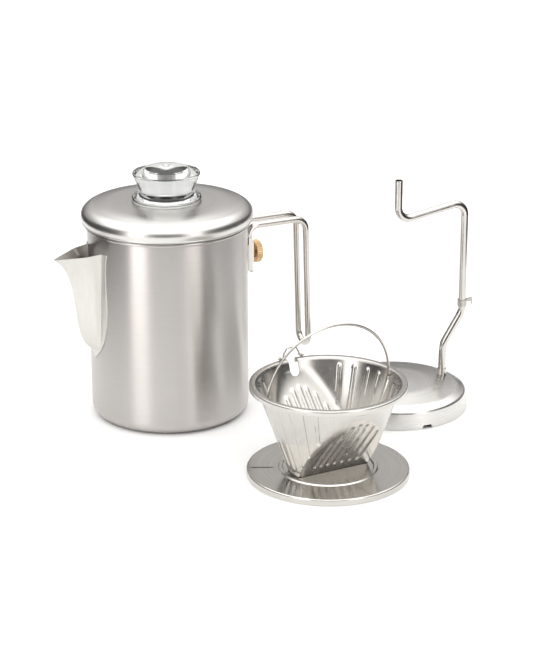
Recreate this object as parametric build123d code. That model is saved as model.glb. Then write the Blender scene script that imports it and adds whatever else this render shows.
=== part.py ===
from build123d import *

import math
import os

# A camping coffee percolator, laid out as it is used: the pot with its lid on, a cone dripper
# standing on its base disc, and the pump tube standing beside them.
# Millimetres. Origin: centre of the pot's base, on the ground. +Z up, +X towards the handle.

# ---------------------------------------------------------------- driving dimensions
POT_R = 58.0              # outside of the pot wall
POT_WALL = 0.8
POT_RIM_Z = 145.0         # top of the rolled rim
POT_CORNER_R = 8.7        # bend between floor and wall
POT_BEAD_R = 1.35         # rolled rim section
SHEET = 0.8               # sheet metal of the lid, spout, dripper, disc and dome
GAP = 0.3                 # between pieces that come apart
FIT = 0.06                # radial running clearance of pins and threads
CUT = 10.0                # how far a cutter runs past what it cuts

SPOUT_MOUTH_DROP = 14.0   # pot rim down to the spout's top edge at the wall
SPOUT_FALL = 3.9          # the edge falls this much to the tip
SPOUT_TIP_OUT = 29.8      # tip outside the pot wall
SPOUT_NOSE_R = 1.8        # fold along the keel
SPOUT_CHEEK_R = 10.0      # bend between each side's root and its run to the keel
SPOUT_CHEEK = (0.37, 0.88)    # the bend's share of the reach and of the half width
SPOUT_ROOT_IN = 4.0       # the spout's section is sized this far inside the pot wall
# Keel of the spout from top to bottom: below the rim, outside the wall, half width at the root.
SPOUT_SECTIONS = [
    (11.0, 37.0, 14.9), (17.9, 29.8, 14.4), (21.4, 26.1, 14.2), (27.4, 21.5, 13.9),
    (34.8, 18.6, 13.5), (42.6, 16.6, 13.2), (61.4, 14.0, 12.3), (70.3, 12.8, 12.0),
    (79.5, 10.3, 11.4), (84.9, 7.2, 10.4), (88.9, 2.9, 7.5),
]
FLANGE_HALF_W = 19.2      # weld flange at the mouth
FLANGE_H = 82.0           # weld flange from the mouth down to its point
STRAINER_HOLE_R = 2.0
STRAINER_PITCH = 7.0
STRAINER_ROWS = 8
STRAINER_COLUMNS = 3
STRAINER_DROP = 24.0      # pot rim down to the top row of holes

LID_REACH = 3.4           # lid's lower edge outside the pot wall
LID_CURL_R = 0.7
LID_HEIGHT = 14.2         # lower edge to the knob seat
COLLAR_DEPTH = 9.0
COLLAR_CLEARANCE = 0.5    # collar inside the pot bore
KNOB_NECK_R = 18.0
KNOB_NECK_DEPTH = 8.0
KNOB_FOOT_R = 25.5
KNOB_WAIST_R = 20.3
KNOB_TOP_R = 24.6
KNOB_HEIGHT = 25.8        # foot to crown
KNOB_WALL = 2.4
RING_NUT_R = 22.5
RING_NUT_T = 3.0
GASKET_T = 1.0

WIRE_R = 2.5              # handle wire
WIRE_GAUGE = 16.0         # between the two handle wires, centre to centre
ARM_DROP = 11.0           # pot rim down to the handle's arms
ARM_BEND_R = 7.0
CORNER_BEND_R = 9.0       # where the arms turn down into the grip
ARM_OUT = 49.8            # upper corner of the handle outside the pot wall
GRIP_OUT = 52.6           # lower end of the grip outside the pot wall
GRIP_LOW_Z = 33.5
CLAMP_DROP = 33.3         # pot rim down to the stud
PLATE_W = 22.0
PLATE_H = 26.0
PLATE_T = 1.5
PLATE_CORNER_R = 2.0
BRACKET_SHORT = 4.0       # the bracket ends this far below the plate's top
FLAT_RISE = 1.0           # the wires' flat ends reach this far above the plate
BRACKET_OUT = 1.6         # bracket face outside the pot wall
FLAT_T = 2.5              # flattened wire ends between bracket and plate
FLAT_W = 6.0
STUD_R = 2.5
STUD_LENGTH = 12.0        # from the bracket face
WASHER_R = 5.6
WASHER_T = 0.8
NUT_R = 8.5
NUT_NECK_R = 5.0
NUT_NECK = 3.0
NUT_GRIP = 5.4
NUT_KNURLS = 36
KNURL_DEPTH = 0.4

DRIPPER_X, DRIPPER_Y = 48.2, -159.8
DRIPPER_TURN = 2.5        # foot's long side from +X, in degrees
DISC_R = 56.2
DISC_Z = 4.6              # top of the disc
DISC_RING_GAP = 3.0       # from the dripper's foot to the disc's raised ring
DISC_RING_W = 3.6
DISC_RING_H = 0.9
DISC_RIB_GAP = 3.4        # from the ring to the ribs
DISC_RIB_EDGE = 2.2       # from the ribs to the disc's edge
DISC_RIB_W = 2.0
DISC_RIB_H = 0.5
DISC_RIBS = 3
DISC_RIB_TURN = 32.5
DISC_HOLE_R = 0.9
FOOT_HALF_L = 28.0        # dripper's foot where it passes the disc
FOOT_HALF_W = 8.0
FOOT_Z = 2.4
RIM_Z = 66.7
RIM_R = 54.1
RIM_WIDTH = 3.9
RIM_BAND = 3.8
FACE_SHORT = 9.7          # the flat faces run out into the cone this far below the rim
DRIP_HOLE_R = 2.5
DRIP_HOLE_PITCH = 16.0
NOTCH_W = 7.4
NOTCH_DEPTH = 10.9
RIB_R = 1.1
RIB_START = 8.4           # ribs start this far above the disc
FACE_RIBS = 7
FACE_RIB_PITCH = 6.0
FACE_RIB_RISE = 36.0      # height of the middle rib on each flat face
FACE_RIB_SPAN = 24.0      # half width of the arch that the ribs' tops follow
END_RIBS = 9
END_RIB_TURN = 12.5       # degrees between ribs on the round ends
END_RIB_GAP = 3.0         # they start this far above the flat faces' edge
END_RIB_SHORT = 5.7       # and end this far below the rim
BAIL_WIRE_R = 0.9
BAIL_IN = 3.0             # bail's centre line inside the rim's inner wall
BAIL_DROP = 3.0           # bail pivot below the rim
BAIL_LEAN = 10.0          # from upright, towards -Y, in degrees
BAIL_PIN_OUT = 1.9        # pivot pin's end outside the rim's inner wall
LOOP_WIRE_R = 0.6
LOOP_HALF_W = 6.2
LOOP_TOP_HALF_W = 3.4
LOOP_H = 7.0
LOOP_SHOULDER_H = 2.4
LOOP_BEND_R = 1.1
LOOP_TOP_BEND_R = 1.4
LOOP_PIN = 4.0
LOOP_LUG_X = 8.5          # rim lug that carries the loop
LUG_T = 1.0
LUG_W = 2.6

PUMP_X, PUMP_Y = 152.4, -68.4
DOME_IN = 3.7             # dome's foot inside the pot bore
DOME_TOP_Z = 19.0
DOME_CROWN_R = 8.0        # flat middle of the dome
DOME_NOTCH = (9.0, 6.0, 2.6)  # width at the ground, width at its top, height
DOME_NOTCHES = 3
DOME_NOTCH_TURN = -93.0
TUBE_R = 2.9
TUBE_BORE_R = 2.3
TUBE_IN_KNOB = 11.4        # tube's top above the knob's foot
TUBE_ARM_RISE = (-3.4, 4.6)   # ends of the arm, from the height of the pot rim
TUBE_OUT = 2.5            # tube's centre line outside the dome's foot
TUBE_FOOT_IN = 13.4       # tube's lower end inside the dome's foot
TUBE_FOOT_Z = 12.0
TUBE_JOG_Z = (64.0, 40.0)
TUBE_BEND_R = 9.0
TUBE_JOG_R = 14.0
NECK_WALL = 0.5
NECK_TOP_Z = 21.5
CLIP_Z = 71.2
CLIP_H = 5.0
CLIP_T = 0.7
CLIP_TAB = 5.0

# ---------------------------------------------------------------- derived places
POT_BORE_R = POT_R - POT_WALL
SPOUT_MOUTH_Z = POT_RIM_Z - SPOUT_MOUTH_DROP
FLANGE_LOW_Z = SPOUT_MOUTH_Z - FLANGE_H
SPOUT_ROOT_X = POT_R - SPOUT_ROOT_IN
STRAINER_TOP_Z = POT_RIM_Z - STRAINER_DROP
STRAINER_LOW_Z = STRAINER_TOP_Z - (STRAINER_ROWS - 1) * STRAINER_PITCH
STRAINER_HALF_W = (STRAINER_COLUMNS - 1) / 2 * STRAINER_PITCH + STRAINER_HOLE_R
ARM_Z = POT_RIM_Z - ARM_DROP
CLAMP_Z = POT_RIM_Z - CLAMP_DROP
LID_R = POT_R + LID_REACH
LID_LOW_Z = POT_RIM_Z + 0.8
SEAT_Z = LID_LOW_Z + LID_HEIGHT
KNOB_Z = SEAT_Z + GASKET_T
LID_HOLE_R = KNOB_NECK_R + GAP
BRACKET_X = POT_R + BRACKET_OUT
FLAT_IN_X = BRACKET_X + GAP
PLATE_IN_X = FLAT_IN_X + FLAT_T
PLATE_OUT_X = PLATE_IN_X + PLATE_T
WIRE_X = FLAT_IN_X + FLAT_T / 2
PLATE_LOW_Z = CLAMP_Z - PLATE_H / 2
PLATE_TOP_Z = CLAMP_Z + PLATE_H / 2
WASHER_X = PLATE_OUT_X + 0.1
NUT_X = WASHER_X + WASHER_T + 0.1
RIM_IN_R = RIM_R - RIM_WIDTH
DISC_RING_IN = FOOT_HALF_L + DISC_RING_GAP
DISC_RING_OUT = DISC_RING_IN + DISC_RING_W
DISC_RIB_IN, DISC_RIB_OUT = DISC_RING_OUT + DISC_RIB_GAP, DISC_R - DISC_RIB_EDGE
FACE_TOP_Z = RIM_Z - FACE_SHORT
BAIL_R = RIM_IN_R - BAIL_IN
BAIL_PIN = BAIL_IN + BAIL_PIN_OUT
CONE_SLOPE = (RIM_IN_R - FOOT_HALF_L) / (RIM_Z - DISC_Z)
FACE_SLOPE = (FOOT_HALF_L + CONE_SLOPE * (FACE_TOP_Z - DISC_Z) - FOOT_HALF_W) / (FACE_TOP_Z - DISC_Z)
BAIL_Z = RIM_Z - BAIL_DROP
LOOP_Y = (RIM_R + RIM_IN_R) / 2
LOOP_Z = RIM_Z + LUG_W / 2
DRIPPER = Location((DRIPPER_X, DRIPPER_Y, 0), (0, 0, DRIPPER_TURN))
DOME_R = POT_BORE_R - DOME_IN
TUBE_REACH = DOME_R + TUBE_OUT
TUBE_FOOT_REACH = DOME_R - TUBE_FOOT_IN
TUBE_TOP_Z = KNOB_Z + TUBE_IN_KNOB
PUMP = Location((PUMP_X, PUMP_Y, 0))
BASE = (Align.CENTER, Align.CENTER, Align.MIN)


# ---------------------------------------------------------------- shared shapes
def save(shape, name):
    export_step(shape, f"parts/{name}.step")


def disc(radius, z0, z1):
    return Pos(0, 0, z0) * Cylinder(radius, z1 - z0, align=BASE)


def ring(r_in, r_out, z0, z1):
    return disc(r_out, z0, z1) - disc(r_in, z0 - CUT, z1 + CUT)


def block(x0, x1, y0, y1, z0, z1):
    return Pos((x0 + x1) / 2, (y0 + y1) / 2, (z0 + z1) / 2) * Box(x1 - x0, y1 - y0, z1 - z0)


def rod_x(radius, x0, x1, z, y=0.0):
    return Pos(x0, y, z) * Rot(0, 90, 0) * Cylinder(radius, x1 - x0, align=BASE)


def bar(radius, start, end):
    """Round bar between two points."""
    start, end = Vector(*start), Vector(*end)
    return Plane(start, z_dir=end - start) * Cylinder(radius, (end - start).length, align=BASE)


def turned(points):
    """Solid of revolution about Z from a closed outline of (radius, height) points."""
    return revolve(make_face(Polyline([(r, 0, z) for r, z in points], close=True)), Axis.Z)


def rounded(corners):
    """Line through (radius, height, rounding) corners in the XZ plane, its ends left sharp."""
    places = [(r, 0, z) for r, z, _ in corners]
    return FilletPolyline(places, radius=[rounding for _, _, rounding in corners[1:-1]])


def skin(corners, wall):
    """Sheet of revolution whose outside follows the corners, from the foot in to the axis."""
    places = [Vector(r, 0, z) for r, z, _ in corners]
    runs = [(b - a).normalized() for a, b in zip(places, places[1:])]
    normals = [Vector(-run.Z, 0, run.X) for run in runs]
    inner = []
    for i, (r, z, rounding) in enumerate(corners):
        before, after = normals[max(i - 1, 0)], normals[min(i, len(normals) - 1)]
        shift = (before + after) * (wall / (1 + before.dot(after)))
        inner.append((r + shift.X, z + shift.Z, rounding - wall))
    outside, inside = rounded(corners), rounded(inner)
    ends = [Line(outside @ 1, inside @ 1), Line(inside @ 0, outside @ 0)]
    return revolve(make_face([outside, ends[0], inside, ends[1]]), Axis.Z)


def wire(path, radius, bore=0.0):
    """Wire or tube along a path."""
    section = Circle(radius)
    if bore:
        section -= Circle(bore)
    return sweep(Plane(path @ 0, z_dir=path % 0) * section, path=path)


# ---------------------------------------------------------------- pot
def pot_body():
    corner, bead_z = POT_CORNER_R, POT_RIM_Z - POT_BEAD_R
    outer = disc(POT_R, 0, bead_z)
    outer = fillet(outer.edges().group_by(Axis.Z)[0], corner)
    inner = disc(POT_BORE_R, POT_WALL, POT_RIM_Z + CUT)
    inner = fillet(inner.edges().group_by(Axis.Z)[0], corner - POT_WALL)
    bead = Pos(0, 0, bead_z) * Torus(POT_BORE_R + POT_BEAD_R, POT_BEAD_R)
    body = outer + bead - inner
    for row in range(STRAINER_ROWS):
        for column in range(STRAINER_COLUMNS):
            y = (column - (STRAINER_COLUMNS - 1) / 2) * STRAINER_PITCH
            z = STRAINER_TOP_Z - row * STRAINER_PITCH
            body -= rod_x(STRAINER_HOLE_R, -POT_R - CUT, -POT_R + CUT, z, y)
    return body


def spout_section(reach, half_w, nose):
    """Pointed outline with bent cheeks, its rounded nose at the reach."""
    along, across = SPOUT_CHEEK
    bend_x, bend_y = SPOUT_ROOT_X + along * (reach - SPOUT_ROOT_X), across * half_w
    half_angle = math.atan2(bend_y, reach - bend_x)
    point = reach + nose * (1 / math.sin(half_angle) - 1)
    corners = [(-SPOUT_ROOT_X, half_w), (-bend_x, bend_y), (-point, 0), (-bend_x, -bend_y),
               (-SPOUT_ROOT_X, -half_w)]
    cheek = min(SPOUT_CHEEK_R, bend_x - SPOUT_ROOT_X)
    line = FilletPolyline(corners, radius=[cheek, nose, cheek])
    return make_face([line, Line(line @ 1, line @ 0)])


def spout_core(inset):
    """The body of the spout, or its inside when inset by the sheet."""
    faces = []
    for drop, out, half_w in SPOUT_SECTIONS:
        nose = min(SPOUT_NOSE_R, half_w / 3)
        outline = spout_section(POT_R + out - inset, half_w - inset, nose - inset)
        faces.append(Pos(0, 0, POT_RIM_Z - drop) * outline)
    return loft(faces)


def flange_outline():
    """Shield-shaped outline of the spout's weld flange, seen along X."""
    top, wide = SPOUT_MOUTH_Z + SHEET, FLANGE_HALF_W
    side = [(wide, top), (wide - 1.7, FLANGE_LOW_Z + 51), (wide - 4.2, FLANGE_LOW_Z + 19),
            (0, FLANGE_LOW_Z)]
    other = [(-y, z) for y, z in reversed(side)]
    return make_face([Line(other[-1], side[0]), Spline(side), Spline(other)])


def spout():
    inside = spout_core(SHEET)
    inside += block(-SPOUT_ROOT_X - SHEET, 0, -STRAINER_HALF_W, STRAINER_HALF_W,
                    STRAINER_LOW_Z - CUT, SPOUT_MOUTH_Z + CUT)
    patch = extrude(Plane.YZ * flange_outline(), -POT_R - CUT)
    flange = ring(POT_R, POT_R + SHEET, FLANGE_LOW_Z - SHEET, SPOUT_MOUTH_Z + SHEET) & patch
    body = spout_core(0) - inside + (flange - inside) - disc(POT_R, 0, POT_RIM_Z)
    fall = math.degrees(math.atan(SPOUT_FALL / SPOUT_TIP_OUT))
    above = Pos(-POT_R, 0, SPOUT_MOUTH_Z) * Rot(0, -fall, 0) * Box(
        2 * POT_R, 2 * POT_R, POT_RIM_Z, align=BASE)
    return body - above


def handle_bracket():
    plate = block(0, BRACKET_X, -PLATE_W / 2, PLATE_W / 2, PLATE_LOW_Z, PLATE_TOP_Z - BRACKET_SHORT)
    return plate - disc(POT_R, 0, POT_RIM_Z) - rod_x(STUD_R, POT_R, BRACKET_X + CUT, CLAMP_Z)


def bracket_stud():
    return rod_x(STUD_R, POT_R, BRACKET_X + STUD_LENGTH, CLAMP_Z)


# ---------------------------------------------------------------- handle
def handle_wire():
    half = WIRE_GAUGE / 2
    flat_top = PLATE_TOP_Z + FLAT_RISE
    arm_x, grip_x = POT_R + ARM_OUT, POT_R + GRIP_OUT
    points = [
        (WIRE_X, -half, flat_top), (WIRE_X, -half, ARM_Z), (arm_x, -half, ARM_Z),
        (grip_x, -half, GRIP_LOW_Z), (grip_x, half, GRIP_LOW_Z), (arm_x, half, ARM_Z),
        (WIRE_X, half, ARM_Z), (WIRE_X, half, flat_top),
    ]
    loop_r = half - 0.2  # a hair under half the gauge, so that a short straight is left
    radii = [ARM_BEND_R, CORNER_BEND_R, loop_r, loop_r, CORNER_BEND_R, ARM_BEND_R]
    body = wire(FilletPolyline(points, radius=radii), WIRE_R)
    for side in (-half, half):
        body += block(FLAT_IN_X, PLATE_IN_X, side - FLAT_W / 2, side + FLAT_W / 2,
                      PLATE_LOW_Z + PLATE_CORNER_R, flat_top)
    return body


def handle_plate():
    plate = block(PLATE_IN_X, PLATE_OUT_X, -PLATE_W / 2, PLATE_W / 2, PLATE_LOW_Z, PLATE_TOP_Z)
    plate = fillet(plate.edges().filter_by(Axis.X), PLATE_CORNER_R)
    return plate - rod_x(STUD_R + GAP, PLATE_IN_X - CUT, PLATE_OUT_X + CUT, CLAMP_Z)


def nut_washer():
    return rod_x(WASHER_R, WASHER_X, WASHER_X + WASHER_T, CLAMP_Z) - rod_x(
        STUD_R + FIT, WASHER_X - CUT, WASHER_X + CUT, CLAMP_Z)


def thumb_nut():
    grip_x = NUT_X + NUT_NECK
    crests = []
    for i in range(2 * NUT_KNURLS):
        turn = math.pi * i / NUT_KNURLS
        r = NUT_R - KNURL_DEPTH * (i % 2)
        crests.append((r * math.cos(turn), r * math.sin(turn)))
    knurled = Pos(grip_x, 0, CLAMP_Z) * extrude(
        Plane.YZ * make_face(Polyline(crests, close=True)), NUT_GRIP)
    blank = rod_x(NUT_R, grip_x, grip_x + NUT_GRIP, CLAMP_Z)
    blank = chamfer(blank.edges().filter_by(GeomType.CIRCLE), 2 * KNURL_DEPTH)
    body = (knurled & blank) + rod_x(NUT_NECK_R, NUT_X, grip_x, CLAMP_Z)
    stud_end = BRACKET_X + STUD_LENGTH + GAP
    return body - rod_x(STUD_R + FIT, NUT_X - CUT, stud_end, CLAMP_Z)


# ---------------------------------------------------------------- lid
def lid_shell():
    outside = [
        (LID_R, LID_LOW_Z, 0), (LID_R + 1.1, LID_LOW_Z + 6.3, 6), (LID_R - 2.7, SEAT_Z - 2.9, 10),
        ((LID_R + KNOB_FOOT_R) / 2 + 2.5, SEAT_Z - 0.5, 60), (KNOB_FOOT_R, SEAT_Z, 30),
        (LID_HOLE_R, SEAT_Z, 0),
    ]
    curl = Pos(0, 0, LID_LOW_Z + LID_CURL_R) * Torus(LID_R - LID_CURL_R / 2, LID_CURL_R)
    return skin(outside, SHEET) + curl


def lid_collar():
    collar_r = POT_BORE_R - COLLAR_CLEARANCE
    flange_r = LID_R - LID_CURL_R * 2
    low = POT_RIM_Z + GAP
    return turned([
        (collar_r - SHEET, POT_RIM_Z - COLLAR_DEPTH), (collar_r, POT_RIM_Z - COLLAR_DEPTH),
        (collar_r, low), (flange_r, low + 0.5), (flange_r, low + 0.5 + SHEET),
        (collar_r - SHEET, low + SHEET),
    ])


def knob_gasket():
    return ring(KNOB_NECK_R + GAP, KNOB_FOOT_R - 1.5, SEAT_Z + FIT, KNOB_Z - FIT)


def knob_ring_nut():
    top = SEAT_Z - SHEET - GAP
    nut = ring(KNOB_NECK_R + FIT, RING_NUT_R, top - RING_NUT_T, top)
    slot = block(RING_NUT_R - 1.5, RING_NUT_R + CUT, -2, 2, 0, SEAT_Z)
    for i in range(6):
        nut -= Rot(0, 0, 60 * i) * slot
    return nut


def knob():
    foot, crown = KNOB_Z, KNOB_Z + KNOB_HEIGHT
    bore = KNOB_NECK_R - KNOB_WALL
    low, ceiling = foot - KNOB_NECK_DEPTH, crown - KNOB_WALL
    outside = rounded([
        (KNOB_FOOT_R - 1.2, foot, 0), (KNOB_FOOT_R + 0.9, foot + 1.9, 1.5),
        (KNOB_WAIST_R - 1.8, foot + 4.8, 3.0), (KNOB_TOP_R + 0.3, crown - 6.0, 1.4),
        (KNOB_TOP_R / 3, crown, 40), (0, crown, 0)])
    inside = Polyline(
        (0, 0, crown), (0, 0, ceiling), (bore - 1, 0, ceiling - 1.6), (bore, 0, ceiling - 3.0),
        (bore, 0, low), (KNOB_NECK_R, 0, low), (KNOB_NECK_R, 0, foot), (KNOB_FOOT_R - 1.2, 0, foot))
    return revolve(make_face([outside, inside]), Axis.Z)


# ---------------------------------------------------------------- dripper
def cone_r(z):
    return FOOT_HALF_L + CONE_SLOPE * (z - DISC_Z)


def face_y(z):
    return FOOT_HALF_W + FACE_SLOPE * (z - DISC_Z)


def wedge(inset):
    """Prism that gives the dripper its two flat faces."""
    low, high, out = FOOT_Z - SHEET, FACE_TOP_Z + SHEET, RIM_R + CUT
    half = [(face_y(low) - inset, low), (face_y(high) - inset, high), (out, high), (out, RIM_Z + CUT)]
    mirror = [(-y, z) for y, z in reversed(half)]
    return extrude(Plane.YZ * make_face(Polyline(half + mirror, close=True)), out, both=True)


def cone_solid(inset, floor):
    """The cone as a solid up to the rim."""
    low, top = cone_r(floor) - inset, cone_r(RIM_Z) - inset
    return turned([(0, floor), (low, floor), (top, RIM_Z), (0, RIM_Z)])


def dripper_rim():
    under, inner = RIM_Z - SHEET, RIM_IN_R - SHEET
    low = RIM_Z - RIM_BAND
    return turned([
        (inner, RIM_Z), (RIM_R, RIM_Z), (RIM_R, low), (RIM_R - SHEET, low),
        (RIM_R - SHEET, under), (inner, under),
    ])


def ribs():
    """Raised ribs inside the cone that hold the paper filter off the wall."""
    bars = []
    low, top = DISC_Z + RIB_START, RIM_Z - END_RIB_SHORT
    for side in (-1, 1):
        for i in range(FACE_RIBS):
            x = (i - (FACE_RIBS - 1) / 2) * FACE_RIB_PITCH
            high = low + FACE_RIB_RISE * math.sqrt(1 - (x / FACE_RIB_SPAN) ** 2)
            y0, y1 = face_y(low) - SHEET, face_y(high) - SHEET
            bars.append(bar(RIB_R, (x, side * y0, low), (x, side * y1, high)))
        for i in range(END_RIBS):
            turn = math.radians((i - (END_RIBS - 1) / 2) * END_RIB_TURN)
            c, s = side * math.cos(turn), math.sin(turn)
            edge = DISC_Z + (FOOT_HALF_L * abs(s) - FOOT_HALF_W) / (FACE_SLOPE - CONE_SLOPE * abs(s))
            start = max(low, edge + END_RIB_GAP)
            r0, r1 = cone_r(start) - SHEET, cone_r(top) - SHEET
            bars.append(bar(RIB_R, (c * r0, s * r0, start), (c * r1, s * r1, top)))
    return bars


def tube_slot():
    """Cutter for the round-bottomed notch that lets the tube through the rim."""
    centre_z = RIM_Z - NOTCH_DEPTH + NOTCH_W / 2
    out = RIM_R + CUT
    slot = block(-NOTCH_W / 2, NOTCH_W / 2, FOOT_HALF_L, out, centre_z, RIM_Z + CUT)
    return slot + Pos(0, FOOT_HALF_L, centre_z) * Rot(-90, 0, 0) * Cylinder(
        NOTCH_W / 2, out - FOOT_HALF_L, align=BASE)


def dripper_cone():
    outside = cone_solid(0, FOOT_Z) & wedge(0)
    inside = cone_solid(SHEET, FOOT_Z + SHEET) & wedge(SHEET * 1.3)
    body = outside - inside
    for rib in ribs():
        body += rib & outside
    body += dripper_rim()
    body -= tube_slot()
    for side in (-1, 0, 1):
        body -= Pos(side * DRIP_HOLE_PITCH, 0, 0) * disc(DRIP_HOLE_R, 0, FOOT_Z + 2 * SHEET)
    for side in (-1, 1):
        inner, outer = sorted((side * FOOT_HALF_L, side * (BAIL_R + BAIL_PIN + GAP)))
        body -= rod_x(BAIL_WIRE_R + FIT, inner, outer, BAIL_Z)
        x = side * LOOP_LUG_X
        lug = block(x - LUG_T / 2, x + LUG_T / 2, LOOP_Y - LUG_W / 2, LOOP_Y + LUG_W / 2,
                    RIM_Z - SHEET / 2, RIM_Z + LUG_W)
        body += lug - rod_x(LOOP_WIRE_R + FIT, x - LUG_T, x + LUG_T, LOOP_Z, LOOP_Y)
    return DRIPPER * body


def dripper_bail():
    outside = BAIL_R + BAIL_WIRE_R + GAP
    upper_half = block(-outside, outside, -outside, outside, 0, outside)
    arc = Rot(90, 0, 0) * Torus(BAIL_R, BAIL_WIRE_R) & upper_half
    for side in (-1, 1):
        inner, outer = sorted((side * BAIL_R, side * (BAIL_R + BAIL_PIN)))
        arc += rod_x(BAIL_WIRE_R, inner, outer, 0)
        arc += Pos(side * BAIL_R, 0, 0) * Sphere(BAIL_WIRE_R)
    return DRIPPER * Pos(0, 0, BAIL_Z) * Rot(BAIL_LEAN, 0, 0) * arc


def latch_loop():
    pin, wide, top = LOOP_HALF_W + LOOP_PIN, LOOP_HALF_W, LOOP_TOP_HALF_W
    half = [(-pin, 0), (-wide, 0), (-wide, LOOP_SHOULDER_H), (-top, LOOP_H)]
    points = half + [(-x, z) for x, z in reversed(half)]
    radii = [LOOP_BEND_R, LOOP_BEND_R, LOOP_TOP_BEND_R]
    path = FilletPolyline([(x, 0, z) for x, z in points], radius=radii + radii[::-1])
    return DRIPPER * Pos(0, LOOP_Y, LOOP_Z) * wire(path, LOOP_WIRE_R)


def base_disc():
    top = DISC_Z - SHEET
    body = disc(DISC_R, 0, DISC_Z)
    body = fillet(body.edges().group_by(Axis.Z)[-1], SHEET * 1.5)
    body -= disc(DISC_R - SHEET, -CUT, top)
    mid, half = (DISC_RING_IN + DISC_RING_OUT) / 2, DISC_RING_W / 2
    body += turned([(mid - half, DISC_Z - 0.1), (mid - half / 2, DISC_Z + DISC_RING_H),
                    (mid + half / 2, DISC_Z + DISC_RING_H), (mid + half, DISC_Z - 0.1)])
    body -= turned([(mid - half / 2, top - 0.1), (mid - half / 3, top + DISC_RING_H),
                    (mid + half / 3, top + DISC_RING_H), (mid + half / 2, top - 0.1)])
    for i in range(DISC_RIBS):
        rib = block(DISC_RIB_IN, DISC_RIB_OUT, -DISC_RIB_W / 2, DISC_RIB_W / 2, top + 0.1,
                    DISC_Z + DISC_RIB_H)
        rib = fillet(rib.edges().filter_by(Axis.Z), DISC_RIB_W / 2.1)
        body += Rot(0, 0, DISC_RIB_TURN + 360 / DISC_RIBS * i) * rib
    length, width = FOOT_HALF_L + GAP, FOOT_HALF_W + GAP
    body -= disc(length, 0, DISC_Z) & block(-length, length, -width, width, 0, DISC_Z)
    for side in (-1, 1):
        body -= Pos(side * DISC_RING_IN, 0, 0) * disc(DISC_HOLE_R, 0, DISC_Z + CUT)
    return DRIPPER * body


# ---------------------------------------------------------------- pump
def pump_dome():
    body = skin([
        (DOME_R, 0, 0), (DOME_R - 1.3, DOME_TOP_Z - 5.6, 3), (DOME_R - 7.0, DOME_TOP_Z - 3.0, 8),
        (DOME_R / 2, DOME_TOP_Z - 0.6, 60), (DOME_CROWN_R, DOME_TOP_Z, 30), (0, DOME_TOP_Z, 0),
    ], SHEET)
    body -= block(-DOME_R, DOME_R, -DOME_R, DOME_R, -CUT, 0)
    low_w, high_w, height = DOME_NOTCH
    outline = Polyline((-low_w / 2, -SHEET), (low_w / 2, -SHEET), (high_w / 2, height),
                       (-high_w / 2, height), close=True)
    cutter = extrude(Plane.YZ * make_face(outline), DOME_R + CUT)
    for i in range(DOME_NOTCHES):
        body -= Rot(0, 0, DOME_NOTCH_TURN + 360 / DOME_NOTCHES * i) * cutter
    body -= Pos(TUBE_FOOT_REACH, 0, 0) * disc(TUBE_R + NECK_WALL, 0, DOME_TOP_Z + CUT)
    return PUMP * body


def tube_neck():
    return PUMP * Pos(TUBE_FOOT_REACH, 0, 0) * ring(
        TUBE_R, TUBE_R + NECK_WALL, TUBE_FOOT_Z + NECK_WALL, NECK_TOP_Z)


def riser_tube():
    arm_low, arm_high = (POT_RIM_Z + rise for rise in TUBE_ARM_RISE)
    jog_high, jog_low = TUBE_JOG_Z
    points = [
        (0, 0, TUBE_TOP_Z), (0, 0, arm_low), (TUBE_REACH, 0, arm_high), (TUBE_REACH, 0, jog_high),
        (TUBE_FOOT_REACH, 0, jog_low), (TUBE_FOOT_REACH, 0, TUBE_FOOT_Z),
    ]
    path = FilletPolyline(points, radius=[TUBE_BEND_R, TUBE_BEND_R, TUBE_JOG_R, TUBE_JOG_R])
    return PUMP * wire(path, TUBE_R, TUBE_BORE_R)


def tube_clip():
    low, high = CLIP_Z - CLIP_H / 2, CLIP_Z + CLIP_H / 2
    band = ring(TUBE_R, TUBE_R + CLIP_T, low, high)
    tab = block(TUBE_R + CLIP_T / 2, TUBE_R + CLIP_T + CLIP_TAB, -CLIP_T, CLIP_T, CLIP_Z, high)
    hook = block(TUBE_R + CLIP_TAB, TUBE_R + CLIP_T + CLIP_TAB, -CLIP_T, CLIP_T, low, high)
    return PUMP * Pos(TUBE_REACH, 0, 0) * (band + tab + hook)


PARTS = [
    pot_body, spout, handle_bracket, bracket_stud, handle_wire, handle_plate, nut_washer, thumb_nut,
    lid_shell, lid_collar, knob_gasket, knob_ring_nut, knob, base_disc, dripper_cone, dripper_bail,
    latch_loop, pump_dome, tube_neck, riser_tube, tube_clip,
]

os.makedirs("parts", exist_ok=True)
for make in PARTS:
    save(make(), make.__name__)
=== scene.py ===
import math

import bmesh
import bpy
from mathutils import Matrix, Vector


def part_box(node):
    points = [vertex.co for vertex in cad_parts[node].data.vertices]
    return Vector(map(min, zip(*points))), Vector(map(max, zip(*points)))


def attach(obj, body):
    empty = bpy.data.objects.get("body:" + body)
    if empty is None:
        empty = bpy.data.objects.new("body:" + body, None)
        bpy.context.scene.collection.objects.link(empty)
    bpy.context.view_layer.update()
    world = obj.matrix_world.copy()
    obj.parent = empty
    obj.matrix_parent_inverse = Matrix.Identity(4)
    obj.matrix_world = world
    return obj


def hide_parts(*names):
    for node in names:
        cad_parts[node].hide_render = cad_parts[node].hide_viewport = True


# Looks for a camping coffee percolator: pot with lid, cone dripper on its base disc, pump tube.
# Metres, in the part's own frame: origin at the centre of the pot's base, +X to the handle.

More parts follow.
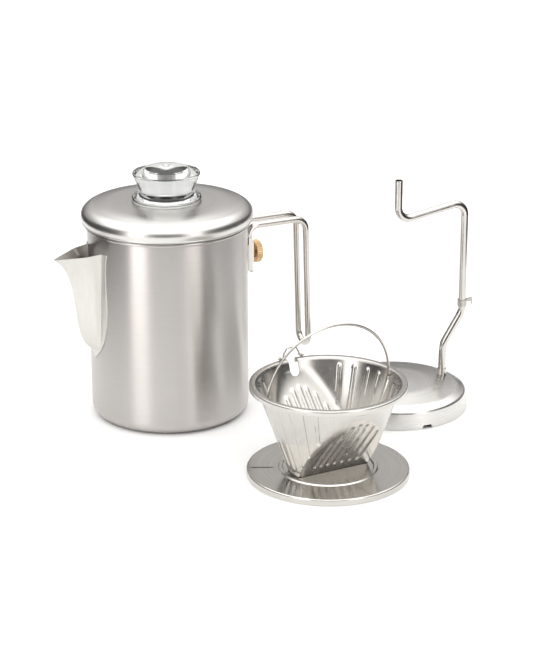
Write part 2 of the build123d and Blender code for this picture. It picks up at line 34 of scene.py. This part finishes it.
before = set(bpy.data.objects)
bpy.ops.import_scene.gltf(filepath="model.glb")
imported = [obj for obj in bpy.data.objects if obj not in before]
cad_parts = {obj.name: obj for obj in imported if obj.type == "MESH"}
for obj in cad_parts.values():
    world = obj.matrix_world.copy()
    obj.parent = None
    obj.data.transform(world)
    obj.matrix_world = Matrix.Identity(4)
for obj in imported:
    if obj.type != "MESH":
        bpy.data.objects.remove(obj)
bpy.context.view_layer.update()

MM = 0.001
TAU = 2 * math.pi

# ---------------------------------------------------------------- places, read from the frame
def centre(node):
    low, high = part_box(node)
    return (low + high) / 2


DISC_CENTRE = centre("base_disc")        # the dripper stands on the disc's middle
DOME_CENTRE = centre("pump_dome")
DRIPPER_TURN = math.radians(2.5)         # its flat faces from +X


# ---------------------------------------------------------------- material nodes
class Nodes:
    """A material's node tree, with short calls for the nodes used here."""

    def __init__(self, name):
        self.material = bpy.data.materials.new(name)
        self.material.use_nodes = True
        self.tree = self.material.node_tree
        self.shader = self.tree.nodes["Principled BSDF"]
        self.coords = self.tree.nodes.new("ShaderNodeTexCoord").outputs["Object"]

    def set(self, **sockets):
        for name, value in sockets.items():
            self.shader.inputs[name.replace("_", " ")].default_value = value
        return self

    def node(self, kind, **inputs):
        made = self.tree.nodes.new(kind)
        for name, value in inputs.items():
            socket = made.inputs[name.replace("_", " ")]
            if isinstance(value, bpy.types.NodeSocket):
                self.tree.links.new(value, socket)
            else:
                socket.default_value = value
        return made

    def link(self, output, socket):
        self.tree.links.new(output, self.shader.inputs[socket])

    def math(self, operation, *values, clamp=False):
        made = self.tree.nodes.new("ShaderNodeMath")
        made.operation = operation
        made.use_clamp = clamp
        for socket, value in zip(made.inputs, values):
            if isinstance(value, bpy.types.NodeSocket):
                self.tree.links.new(value, socket)
            else:
                socket.default_value = value
        return made.outputs[0]

    def scaled(self, scale, location=(0, 0, 0)):
        """Object coordinates stretched by a scale per axis."""
        made = self.node("ShaderNodeMapping", Vector=self.coords, Scale=scale, Location=location)
        return made.outputs[0]

    def noise(self, vector, scale=1.0, detail=2.0, roughness=0.5):
        made = self.node("ShaderNodeTexNoise", Vector=vector, Scale=scale, Detail=detail,
                         Roughness=roughness)
        return made.outputs["Fac"]

    def ramp(self, value, stops):
        made = self.node("ShaderNodeValToRGB", Fac=value)
        elements = made.color_ramp.elements
        while len(elements) < len(stops):
            elements.new(0.5)
        for element, (place, colour) in zip(elements, stops):
            element.position = place
            grey = (colour,) * 3 if isinstance(colour, float) else colour
            element.color = (*grey, 1)
        return made.outputs["Color"]

    def spread(self, value, low, high):
        made = self.node("ShaderNodeMapRange", Value=value)
        made.inputs["From Min"].default_value = 0.25
        made.inputs["From Max"].default_value = 0.75
        made.inputs["To Min"].default_value = low
        made.inputs["To Max"].default_value = high
        return made.outputs["Result"]

    def around(self, x, y):
        """(angle as a share of a turn, distance) about a vertical axis through (x, y)."""
        parts = self.node("ShaderNodeSeparateXYZ", Vector=self.coords)
        dx = self.math("SUBTRACT", parts.outputs["X"], x)
        dy = self.math("SUBTRACT", parts.outputs["Y"], y)
        turn = self.math("DIVIDE", self.math("ARCTAN2", dy, dx), TAU)
        square = self.math("ADD", self.math("MULTIPLY", dx, dx), self.math("MULTIPLY", dy, dy))
        return turn, self.math("SQRT", square), parts.outputs["Z"]

    def bump(self, height, strength, distance=0.0001):
        made = self.node("ShaderNodeBump", Height=height, Strength=strength, Distance=distance)
        self.link(made.outputs["Normal"], "Normal")


def brushed(name, colour, rough, scale, streak=0.06, bump=0.12, metallic=1.0):
    """Steel brushed along the axis whose scale is lowest."""
    m = Nodes(name).set(Metallic=metallic)
    lines = m.noise(m.scaled(scale), detail=4.0, roughness=0.65)
    cloud = m.noise(m.scaled((14, 14, 14)), detail=2.0)
    m.link(m.spread(lines, rough - streak, rough + streak), "Roughness")
    low = tuple(c * 0.93 for c in colour)
    high = tuple(min(c * 1.05, 1) for c in colour)
    both = m.math("ADD", m.math("MULTIPLY", lines, 0.6), m.math("MULTIPLY", cloud, 0.4))
    m.link(m.ramp(both, [(0.32, low), (0.68, high)]), "Base Color")
    m.bump(lines, bump)
    return m


def vertical_spread(m, amount):
    """Turns the blur of a finish brushed round the object into one that runs up and down."""
    m.set(Anisotropic=amount, Anisotropic_Rotation=0.25)
    tangent = m.tree.nodes.new("ShaderNodeTangent")
    tangent.direction_type, tangent.axis = "RADIAL", "Z"
    m.link(tangent.outputs[0], "Tangent")
    return m


def turned_steel(name, colour, rough, x, y, rings=900.0, streak=0.05, bump=0.08):
    """Steel spun or polished in circles about a vertical axis."""
    m = Nodes(name).set(Metallic=1.0)
    turn, distance, height = m.around(x, y)
    place = m.node("ShaderNodeCombineXYZ", X=m.math("MULTIPLY", distance, rings),
                   Y=m.math("MULTIPLY", height, rings), Z=m.math("MULTIPLY", turn, 3.0))
    lines = m.noise(place.outputs[0], detail=4.0, roughness=0.6)
    cloud = m.noise(m.scaled((18, 18, 18)), detail=2.0)
    m.link(m.spread(lines, rough - streak, rough + streak), "Roughness")
    low = tuple(c * 0.94 for c in colour)
    high = tuple(min(c * 1.04, 1) for c in colour)
    both = m.math("ADD", m.math("MULTIPLY", lines, 0.5), m.math("MULTIPLY", cloud, 0.5))
    m.link(m.ramp(both, [(0.32, low), (0.68, high)]), "Base Color")
    m.bump(lines, bump)
    return m


POT_STEEL = (0.56, 0.535, 0.52)
STEEL = (0.66, 0.65, 0.63)
WARM = (0.64, 0.62, 0.59)
SATIN_STEEL = (0.61, 0.595, 0.57)
PRESSED_STEEL = (0.58, 0.565, 0.54)
DRAWN_STEEL = (0.60, 0.58, 0.555)
WIRE_STEEL = (0.60, 0.575, 0.545)
CLIP_STEEL = (0.46, 0.44, 0.415)
BRASS = (0.64, 0.44, 0.25)


def materials():
    """Every finish by the name used further down."""
    pot = brushed("pot_brushed", POT_STEEL, 0.34, (60, 60, 2600), streak=0.04, bump=0.03)
    made = {
        "pot": vertical_spread(pot, 0.86),
        "spout": brushed("spout_satin", SATIN_STEEL, 0.32, (300, 300, 60), streak=0.03, bump=0.02),
        "lid": turned_steel("lid_satin", STEEL, 0.31, 0, 0, rings=300, streak=0.015, bump=0.003),
        "wire": brushed("wire_polished", WIRE_STEEL, 0.17, (300, 300, 300), streak=0.02,
                        bump=0.006),
        "tube": brushed("tube_drawn", DRAWN_STEEL, 0.19, (240, 240, 60), streak=0.02, bump=0.004),
        "clip": brushed("clip_steel", CLIP_STEEL, 0.24, (500, 500, 500), bump=0.03),
        "bracket": brushed("bracket_satin", STEEL, 0.24, (500, 1800, 200), bump=0.05),
        "dripper": brushed("dripper_satin", PRESSED_STEEL, 0.25, (300, 300, 120), streak=0.03,
                           bump=0.015),
        "disc": turned_steel("disc_satin", WARM, 0.17, DISC_CENTRE.x, DISC_CENTRE.y, rings=700,
                             streak=0.03, bump=0.015),
        "dome": turned_steel("dome_satin", STEEL, 0.27, DOME_CENTRE.x, DOME_CENTRE.y, rings=260,
                             streak=0.01, bump=0.0008),
        "brass": brushed("nut_brass", BRASS, 0.36, (400, 2600, 2600), bump=0.08),
    }

    gasket = Nodes("gasket_silicone").set(Roughness=0.45, IOR=1.42)
    gasket.link(gasket.ramp(gasket.noise(gasket.scaled((300, 300, 300))),
                            [(0.3, (0.84, 0.83, 0.80)), (0.7, (0.92, 0.91, 0.89))]), "Base Color")
    gasket.bump(gasket.noise(gasket.scaled((900, 900, 900))), 0.1)
    made["gasket"] = gasket

    knob = Nodes("knob_clear").set(Metallic=0.0, IOR=1.49, Transmission_Weight=1.0)
    haze = knob.noise(knob.scaled((120, 120, 120)), detail=3.0)
    knob.link(knob.spread(haze, 0.0, 0.035), "Roughness")
    knob.link(knob.ramp(haze, [(0.3, (0.955, 0.965, 0.96)), (0.7, (0.985, 0.99, 0.985))]),
              "Base Color")
    knob.bump(knob.noise(knob.scaled((60, 60, 60)), detail=1.0), 0.06, 0.0003)
    made["knob"] = knob
    return {name: nodes.material for name, nodes in made.items()}


FINISH = materials()


def dress(node, finish):
    """Gives a CAD node its finish."""
    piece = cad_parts[node]
    piece.data.materials.clear()
    piece.data.materials.append(FINISH[finish])


NODE_FINISH = {
    "pot_body": "pot", "spout": "spout", "handle_bracket": "bracket", "bracket_stud": "bracket",
    "handle_wire": "wire", "handle_plate": "bracket", "nut_washer": "bracket",
    "thumb_nut": "brass", "lid_shell": "lid", "lid_collar": "lid", "knob_gasket": "gasket",
    "knob_ring_nut": "bracket", "knob": "knob", "base_disc": "disc", "dripper_cone": "dripper",
    "dripper_bail": "wire", "latch_loop": "wire", "pump_dome": "dome", "tube_neck": "tube",
    "riser_tube": "tube", "tube_clip": "clip",
}
for node, finish in NODE_FINISH.items():
    dress(node, finish)


# ---------------------------------------------------------------- dripper with its pressed ribs
# The sizes and the points of this part are in millimetres about the dripper's own axis.
SHEET = 0.8
FOOT_LOW, FOOT_TOP = 2.4, 4.6
FOOT_L, FOOT_W = 28.0, 8.0           # half length and half width where it passes the disc
CONE_RISE = (50.2 - FOOT_L) / (66.7 - FOOT_TOP)
FACE_RISE = 0.738
RIM_TOP, RIM_IN, RIM_OUT, RIM_LOW = 66.7, 50.2, 54.1, 62.9
CREASE = 3.0                         # bend between the round ends and the flat faces
FACE_INSET = 1.3                     # the sheet measured level across a leaning flat face
ROUND_ABOVE = 60                     # the wall is round from this height up
ON_FACE = 0.4                        # further inside the cone than this is on a flat face
NOTCH_HALF, NOTCH_DEPTH = 3.7, 10.9
DRIP_PITCH, DRIP_R = 16.0, 2.5
BAIL_DROP, BAIL_HOLE_R = 3, 1.1      # the bail's holes below the rim
LUG_X, LUG_Y = 8.5, 52.15
LUG_HALF_T, LUG_HALF_W, LUG_HOLE_R = 0.5, 1.3, 0.68
COLUMNS = 480
ROW_STEP = 0.85
SHARP_ANGLE = math.radians(38)
RIB_HALF, RIB_FLAT, RIB_DEPTH = 1.75, 0.75, 1.0
FACE_RIB_ENDS = [                    # x at the bottom, x and height at the top
    (-19.0, -16.2, 36.0), (-14.2, -10.6, 43.0), (-8.8, -4.8, 47.4), (-3.2, 0.6, 48.8),
    (2.6, 6.2, 47.6), (8.8, 12.4, 44.2), (15.2, 18.4, 38.6),
]
FACE_RIB_LOW = 13.4
END_RIB_LOW, END_RIB_TOP = 12.0, 61.0
END_RIB_GAP = 4.0                    # from the crease up to a rib's start
NEAR_WALL = 1.2                      # a point this close to a wall can be on its ribs
RIBBED = (8, 64)                     # the heights between which there are ribs
END_RIB_TURNS = [math.radians(12.5 * i) for i in range(-4, 5)]


def soft_min(a, b, reach):
    """The smaller of two lengths, rounded off where they are nearly the same."""
    near = max(reach - abs(a - b), 0) / reach
    return min(a, b) - near * near * reach / 4


def segment_distance(px, pz, ax, az, bx, bz):
    """From a point p to the segment from a to b."""
    dx, dz = bx - ax, bz - az
    along = ((px - ax) * dx + (pz - az) * dz) / (dx * dx + dz * dz)
    along = min(max(along, 0), 1)
    return math.hypot(px - ax - along * dx, pz - az - along * dz)


def cone_radius(z):
    return FOOT_L + CONE_RISE * (z - FOOT_TOP)


def face_half_w(z):
    return FOOT_W + FACE_RISE * (z - FOOT_TOP)


def rib_depth(x, y, z):
    """How far the sheet is pressed inwards at a point of the cone's wall."""
    half_w = face_half_w(z)
    radius = cone_radius(z)
    nearest = 9.0
    if abs(y) > half_w - NEAR_WALL:
        lean = 1 if y < 0 else -1
        for low_x, top_x, top_z in FACE_RIB_ENDS:
            nearest = min(nearest, segment_distance(x * lean, z, low_x, FACE_RIB_LOW, top_x, top_z))
    if math.hypot(x, y) > radius - NEAR_WALL:
        turn = math.atan2(y, abs(x))
        for rib in END_RIB_TURNS:
            crease = FOOT_TOP + (FOOT_L * abs(math.sin(rib)) - FOOT_W) / (
                FACE_RISE - CONE_RISE * abs(math.sin(rib)))
            low = max(END_RIB_LOW, crease + END_RIB_GAP)
            across = radius * (turn - rib)
            nearest = min(nearest, segment_distance(across, z, 0, low, 0, END_RIB_TOP))
    share = min(max((RIB_HALF - nearest) / (RIB_HALF - RIB_FLAT), 0), 1)
    return RIB_DEPTH * share * share * (3 - 2 * share)


def wall_point(angle, z, inset):
    """A point of the wall, inset from its outside, with the pressed ribs."""
    c, s = math.cos(angle), math.sin(angle)
    across = max(abs(s), 1e-6)
    radius = cone_radius(z) - inset
    face = (face_half_w(z) - inset * FACE_INSET) / across
    reach = soft_min(radius, face, CREASE) if z < ROUND_ABOVE else radius
    outer = min(cone_radius(z), face_half_w(z) / across)
    depth = rib_depth(c * outer, s * outer, z) if RIBBED[0] < z < RIBBED[1] else 0
    if depth:
        if outer < cone_radius(z) - ON_FACE:
            return c * reach, s * reach - math.copysign(depth, s), z
        reach -= depth
    return c * reach, s * reach, z


def rim_profile():
    """From the top of the inner wall over the rim, round its band's edge and back under it."""
    def arc(r, z, radius, start, end, steps=5):
        turns = [math.radians(start + (end - start) * i / steps) for i in range(steps + 1)]
        return [(r + radius * math.cos(t), z + radius * math.sin(t)) for t in turns]

    inner = RIM_IN - SHEET
    over = arc(inner + 1.1, RIM_TOP - 1.1, 1.1, 160, 90)
    over += arc(RIM_OUT - 1.0, RIM_TOP - 1.0, 1.0, 90, 0)
    edge = [(RIM_OUT, RIM_LOW + 0.3), (RIM_OUT - 0.2, RIM_LOW), (RIM_OUT - SHEET + 0.2, RIM_LOW),
            (RIM_OUT - SHEET, RIM_LOW + 0.3)]
    under = arc(RIM_OUT - SHEET - 0.4, RIM_TOP - SHEET - 0.4, 0.4, 0, 90, 3)
    under += arc(RIM_IN + 0.7, RIM_TOP - SHEET - 0.7, 0.7, 90, 160, 3)
    return over + edge + under


def cutter(shapes):
    """One mesh of closed prisms: each a ring of points and the step from one end to the other."""
    bm = bmesh.new()
    for ring, step in shapes:
        near = [bm.verts.new(point) for point in ring]
        far = [bm.verts.new(Vector(point) + Vector(step)) for point in ring]
        bm.faces.new(near)
        bm.faces.new(reversed(far))
        for i in range(len(ring)):
            j = (i + 1) % len(ring)
            bm.faces.new((near[j], near[i], far[i], far[j]))
    bmesh.ops.recalc_face_normals(bm, faces=bm.faces)
    mesh = bpy.data.meshes.new("cutter")
    bm.to_mesh(mesh)
    return mesh


def circle(x, y, z, radius, axis, count=32):
    turns = [TAU * i / count for i in range(count)]
    if axis == "x":
        return [(x, y + radius * math.cos(t), z + radius * math.sin(t)) for t in turns]
    return [(x + radius * math.cos(t), y + radius * math.sin(t), z) for t in turns]


def dripper_cuts():
    """The tube's notch, the bail's two holes and the drip holes."""
    half, low = NOTCH_HALF, RIM_TOP - NOTCH_DEPTH + NOTCH_HALF
    inside, through = 30, 30
    turns = [math.pi + math.pi * i / 20 for i in range(21)]
    notch = [(half * math.cos(t), inside, low + half * math.sin(t)) for t in turns]
    notch += [(half, inside, RIM_TOP + 2), (-half, inside, RIM_TOP + 2)]
    shapes = [(notch, (0, through, 0))]
    for x in (-58, 35):
        shapes.append((circle(x, 0, RIM_TOP - BAIL_DROP, BAIL_HOLE_R, "x"), (18, 0, 0)))
    for x in (-DRIP_PITCH, 0, DRIP_PITCH):
        shapes.append((circle(x, 0, 1.0, DRIP_R, "z"), (0, 0, 3.0)))
    return cutter(shapes)


def dripper_rings(angles):
    """Rings of points from the inner floor up, over the rim and down to the outer floor."""
    rows = int((RIM_TOP - 1.2 - FOOT_TOP) / ROW_STEP)
    heights = [FOOT_TOP + (RIM_TOP - 1.3 - FOOT_TOP) * i / rows for i in range(rows + 1)]
    floor = FOOT_LOW + SHEET
    levels = [(SHEET + 1.0, floor), (SHEET + 0.3, floor + 0.25), (SHEET, floor + 0.9)]
    levels += [(SHEET, z) for z in heights]
    rings = [[wall_point(a, z, inset) for a in angles] for inset, z in levels]
    rings += [[(r * math.cos(a), r * math.sin(a), z) for a in angles] for r, z in rim_profile()]
    levels = [(0, z) for z in reversed(heights)]
    levels += [(0, FOOT_LOW + 0.9), (0.3, FOOT_LOW + 0.25), (1.0, FOOT_LOW)]
    return rings + [[wall_point(a, z, inset) for a in angles] for inset, z in levels]


def dripper_shell():
    """The closed sheet before its notch and holes are cut."""
    bm = bmesh.new()
    angles = [TAU * i / COLUMNS for i in range(COLUMNS)]
    rings = [[bm.verts.new(point) for point in ring] for ring in dripper_rings(angles)]
    for ring_a, ring_b in zip(rings, rings[1:]):
        for i in range(COLUMNS):
            j = (i + 1) % COLUMNS
            bm.faces.new((ring_a[i], ring_a[j], ring_b[j], ring_b[i]))
    bm.faces.new(rings[0])
    bm.faces.new(reversed(rings[-1]))
    bmesh.ops.recalc_face_normals(bm, faces=bm.faces)
    mesh = bpy.data.meshes.new("dripper_pressed")
    bm.to_mesh(mesh)
    return mesh


def dripper():
    piece = bpy.data.objects.new("dripper_pressed", dripper_shell())
    bpy.context.scene.collection.objects.link(piece)
    tool = bpy.data.objects.new("dripper_cuts", dripper_cuts())
    bpy.context.scene.collection.objects.link(tool)
    cut = piece.modifiers.new("cut", "BOOLEAN")
    cut.operation, cut.object, cut.solver = "DIFFERENCE", tool, "EXACT"
    evaluated = piece.evaluated_get(bpy.context.evaluated_depsgraph_get())
    result = bpy.data.meshes.new_from_object(evaluated)
    piece.modifiers.clear()
    piece.data = result
    bpy.data.objects.remove(tool)

    bm = bmesh.new()
    bm.from_mesh(result)
    for side in (-1, 1):
        add_lug(bm, side * LUG_X)
    place = Matrix.Translation((DISC_CENTRE.x, DISC_CENTRE.y, 0))
    bm.transform(place @ Matrix.Rotation(DRIPPER_TURN, 4, "Z") @ Matrix.Scale(MM, 4))
    bm.to_mesh(result)
    for polygon in result.polygons:
        polygon.use_smooth = True
    result.set_sharp_from_angle(angle=SHARP_ANGLE)
    result.materials.clear()
    result.materials.append(FINISH["dripper"])
    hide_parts("dripper_cone")
    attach(piece, "dripper")


def add_lug(bm, x):
    """A small round-topped ear with a hole for the latch loop's pin."""
    half, top = LUG_HALF_W, RIM_TOP + LUG_HALF_W
    turns = [math.pi * i / 12 for i in range(-1, 14)]
    outline = [(-half * math.cos(t), top + half * math.sin(t)) for t in turns]
    outline[0], outline[-1] = (-half, RIM_TOP - 0.3), (half, RIM_TOP - 0.3)
    hole = [(-LUG_HOLE_R * math.cos(t), top + LUG_HOLE_R * math.sin(t)) for t in turns]
    sides = []
    for sx in (-LUG_HALF_T, LUG_HALF_T):
        sides.append(([bm.verts.new((x + sx, LUG_Y + y, z)) for y, z in outline],
                      [bm.verts.new((x + sx, LUG_Y + y, z)) for y, z in hole]))
    (out_a, in_a), (out_b, in_b) = sides
    n = len(outline)
    for i in range(n):
        j = (i + 1) % n
        bm.faces.new((out_a[i], out_a[j], in_a[j], in_a[i]))
        bm.faces.new((out_b[j], out_b[i], in_b[i], in_b[j]))
        bm.faces.new((out_a[j], out_a[i], out_b[i], out_b[j]))
        bm.faces.new((in_a[i], in_a[j], in_b[j], in_b[i]))


dripper()


# ---------------------------------------------------------------- stage, light and camera
FLOOR_GAP = 0.0002                   # keeps the floor just under the pot's base


def stage():
    floor_mesh = bpy.data.meshes.new("floor")
    corners = [tuple(from_camera(side, depth)) for side, depth in FLOOR_CORNERS]
    floor_mesh.from_pydata(corners, [], [(0, 1, 2, 3)])
    floor = bpy.data.objects.new("floor", floor_mesh)
    floor.location.z = -FLOOR_GAP
    bpy.context.scene.collection.objects.link(floor)
    paint = Nodes("floor_paint").set(Roughness=0.55)
    paint.link(paint.ramp(paint.noise(paint.scaled((3, 3, 3))),
                          [(0.3, (0.93, 0.93, 0.93)), (0.7, (0.95, 0.95, 0.95))]), "Base Color")
    floor_mesh.materials.append(paint.material)


def world_light():
    """A dark studio: bright ceiling, grey back wall, two tall strips by the camera.

    The camera itself sees plain white past the floor, and the clear knob sees mostly white.
    """
    world = bpy.data.worlds.new("studio")
    bpy.context.scene.world = world
    world.use_nodes = True
    tree = world.node_tree
    background = tree.nodes["Background"]

    def made(kind, *values, operation=None):
        node = tree.nodes.new(kind)
        if operation:
            node.operation = operation
        for socket, value in zip(node.inputs, values):
            if isinstance(value, bpy.types.NodeSocket):
                tree.links.new(value, socket)
            else:
                socket.default_value = value
        return node

    direction = tree.nodes.new("ShaderNodeTexCoord").outputs["Generated"]
    right = made("ShaderNodeVectorMath", direction, RIGHT, operation="DOT_PRODUCT").outputs["Value"]
    front = made("ShaderNodeVectorMath", direction, BACK, operation="DOT_PRODUCT").outputs["Value"]
    height = made("ShaderNodeSeparateXYZ", direction).outputs["Z"]
    turn = made("ShaderNodeMath", right, front, operation="ARCTAN2").outputs[0]
    share = made("ShaderNodeMath", turn, 1 / TAU, 0.5, operation="MULTIPLY_ADD").outputs[0]

    def around(stops):
        ramp = tree.nodes.new("ShaderNodeValToRGB")
        tree.links.new(share, ramp.inputs["Fac"])
        while len(ramp.color_ramp.elements) < len(stops):
            ramp.color_ramp.elements.new(0.5)
        for element, (degrees, light) in zip(ramp.color_ramp.elements, stops):
            element.position = degrees / 360 + 0.5
            element.color = (light * 1.015, light * 0.985, light * 0.972, 1)
        return ramp.outputs["Color"]

    def above(low, high):
        step = made("ShaderNodeMapRange", height)
        step.interpolation_type = "SMOOTHSTEP"
        step.inputs["From Min"].default_value = math.sin(math.radians(low))
        step.inputs["From Max"].default_value = math.sin(math.radians(high))
        return step.outputs["Result"]

    def mixed(factor, a, b):
        mix = tree.nodes.new("ShaderNodeMix")
        mix.data_type = "RGBA"
        tree.links.new(factor, mix.inputs["Factor"])
        for name, value in (("A", a), ("B", b)):
            if isinstance(value, bpy.types.NodeSocket):
                tree.links.new(value, mix.inputs[name])
            else:
                mix.inputs[name].default_value = (value, value, value * 0.985, 1)
        return mix.outputs["Result"]

    room = mixed(above(WALL_FROM, WALL_TO), around(LOW_STOPS), around(WALL_STOPS))
    room = mixed(above(CEILING_FROM, CEILING_TO), room, CEILING)
    path = tree.nodes.new("ShaderNodeLightPath").outputs
    room = mixed(made("ShaderNodeMath", path["Is Transmission Ray"], CLEAR_SHARE,
                      operation="MULTIPLY").outputs[0], room, 1.0)
    tree.links.new(mixed(path["Is Camera Ray"], room, 1.0), background.inputs["Color"])


VIEW_AZIMUTH = math.radians(26)     # the camera looks along this direction, from +Y towards +X
VIEW_DROP = math.radians(19.89)     # below the horizon
VIEW_ROLL = math.radians(-0.19)
VIEW_FROM = (-0.5714, -1.3343, 0.5825)
VIEW_LENS = 113.35
FORWARD = Vector((math.sin(VIEW_AZIMUTH) * math.cos(VIEW_DROP),
                  math.cos(VIEW_AZIMUTH) * math.cos(VIEW_DROP), -math.sin(VIEW_DROP)))
RIGHT = Vector((math.cos(VIEW_AZIMUTH), -math.sin(VIEW_AZIMUTH), 0))
BACK = Vector((-math.sin(VIEW_AZIMUTH), -math.cos(VIEW_AZIMUTH), 0))


def camera():
    data = bpy.data.cameras.new("camera")
    data.sensor_width = 36
    data.lens = VIEW_LENS
    data.clip_start, data.clip_end = 0.05, 50
    cam = bpy.data.objects.new("camera", data)
    turn = FORWARD.to_track_quat("-Z", "Y").to_matrix() @ Matrix.Rotation(VIEW_ROLL, 3, "Z")
    cam.matrix_world = Matrix.Translation(VIEW_FROM) @ turn.to_4x4()
    bpy.context.scene.collection.objects.link(cam)
    bpy.context.scene.camera = cam


def from_camera(right, towards):
    """A place on the floor by how far right and towards the camera it is from the pot's foot."""
    return RIGHT * right + BACK * towards


# Brightness by direction: degrees to the camera's right, where 0 faces the camera.
LOW_STOPS = [      # near the horizon
    (-180, 0.05), (-100, 0.05), (-54, 0.05), (-47, 2.9), (-30, 2.9), (-24, 0.10),
    (0, 0.22), (26, 0.14), (32, 2.4), (47, 2.4), (52, 0.05), (100, 0.05), (180, 0.05),
]
WALL_STOPS = [     # above it
    (-180, 0.52), (-140, 0.45), (-100, 0.06), (-54, 0.08), (-47, 2.9), (-30, 2.9), (-24, 0.16),
    (0, 0.16), (26, 0.18), (32, 2.4), (47, 2.4), (52, 0.08), (100, 0.06), (140, 0.45), (180, 0.52),
]
WALL_FROM, WALL_TO = 7, 15           # degrees above the horizon
CEILING = 2.1
CLEAR_SHARE = 0.7                    # how much of the white surroundings show through the knob
CEILING_FROM, CEILING_TO = 22, 50
# Right of the pot's foot and towards the camera from it; the dark floor past this is not seen.
FLOOR_CORNERS = [(-0.26, 0.65), (0.46, 0.65), (0.80, -2.0), (-0.65, -2.0)]

stage()
world_light()
camera()
bpy.context.scene.view_settings.view_transform = "Standard"
